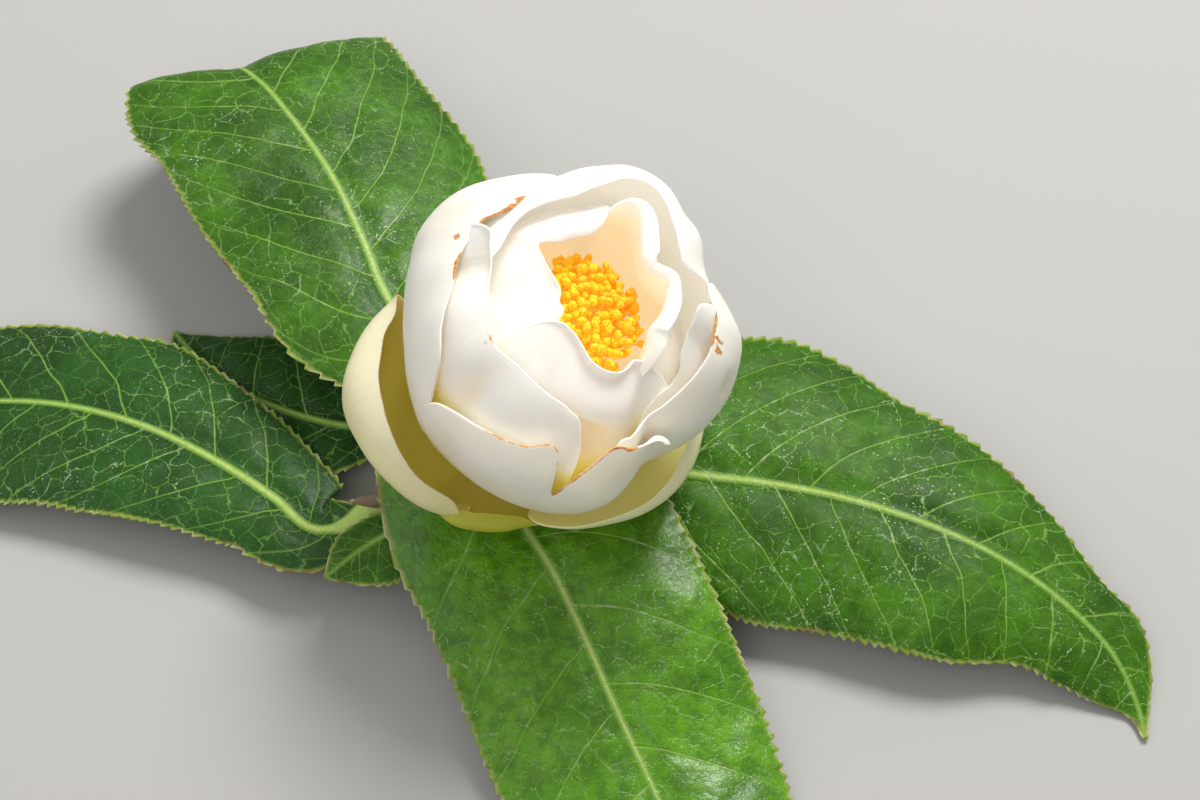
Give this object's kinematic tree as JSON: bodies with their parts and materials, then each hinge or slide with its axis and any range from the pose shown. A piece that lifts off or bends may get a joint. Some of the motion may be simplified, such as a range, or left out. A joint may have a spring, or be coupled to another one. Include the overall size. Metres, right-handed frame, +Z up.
{
  "type": "camellia flower",
  "caption": "Half-open white camellia bloom with yellow stamens on a short cut sprig of toothed green leaves, resting on its leaf tips and twig end.",
  "frame": {"origin": "the middle of the whole sprig's box, on the surface that it rests on", "axes": "+Z up, +X to the right of someone facing the flower's open front, +Y away from them"},
  "size_m": [0.2142, 0.1724, 0.0661],
  "materials": {
    "petal": "soft matte ivory-white petal",
    "sepal": "soft matte cream-green scale",
    "leaf": "glossy waxy green leaf",
    "bark": "rough thin bark",
    "receptacle": "matte green stem tissue",
    "filament": "pale yellow, matte",
    "stamen": "orange-yellow pollen, powdery"
  },
  "bodies": {
    "root": {"petal_1_front": "petal", "petal_2_back": "petal", "petal_3_left": "petal", "petal_4_right": "petal", "petal_5_front_left": "petal", "petal_6_back": "petal", "petal_7_front_right": "petal", "petal_8_front": "petal", "petal_9_left": "petal", "petal_10_right": "petal", "sepal_1_left": "sepal", "sepal_2_front": "sepal", "sepal_3_front_right": "sepal", "sepal_4_back_right": "sepal", "sepal_5_back_left": "sepal", "leaf_1_right": "leaf", "leaf_2_front": "leaf", "leaf_3_back_left": "leaf", "leaf_4_left": "leaf", "leaf_5_behind": "leaf", "leaf_6_small": "leaf", "twig": "bark", "receptacle": "receptacle", "filament_tube": "filament", "pistil": "filament", "stamen_01": "stamen", "stamen_02": "stamen", "stamen_03": "stamen", "stamen_04": "stamen", "stamen_05": "stamen", "stamen_06": "stamen", "stamen_07": "stamen", "stamen_08": "stamen", "stamen_09": "stamen", "stamen_10": "stamen", "stamen_11": "stamen", "stamen_12": "stamen", "stamen_13": "stamen", "stamen_14": "stamen", "stamen_15": "stamen", "stamen_16": "stamen", "stamen_17": "stamen", "stamen_18": "stamen", "stamen_19": "stamen", "stamen_20": "stamen", "stamen_21": "stamen", "stamen_22": "stamen", "stamen_23": "stamen", "stamen_24": "stamen"}
  },
  "joints": []
}
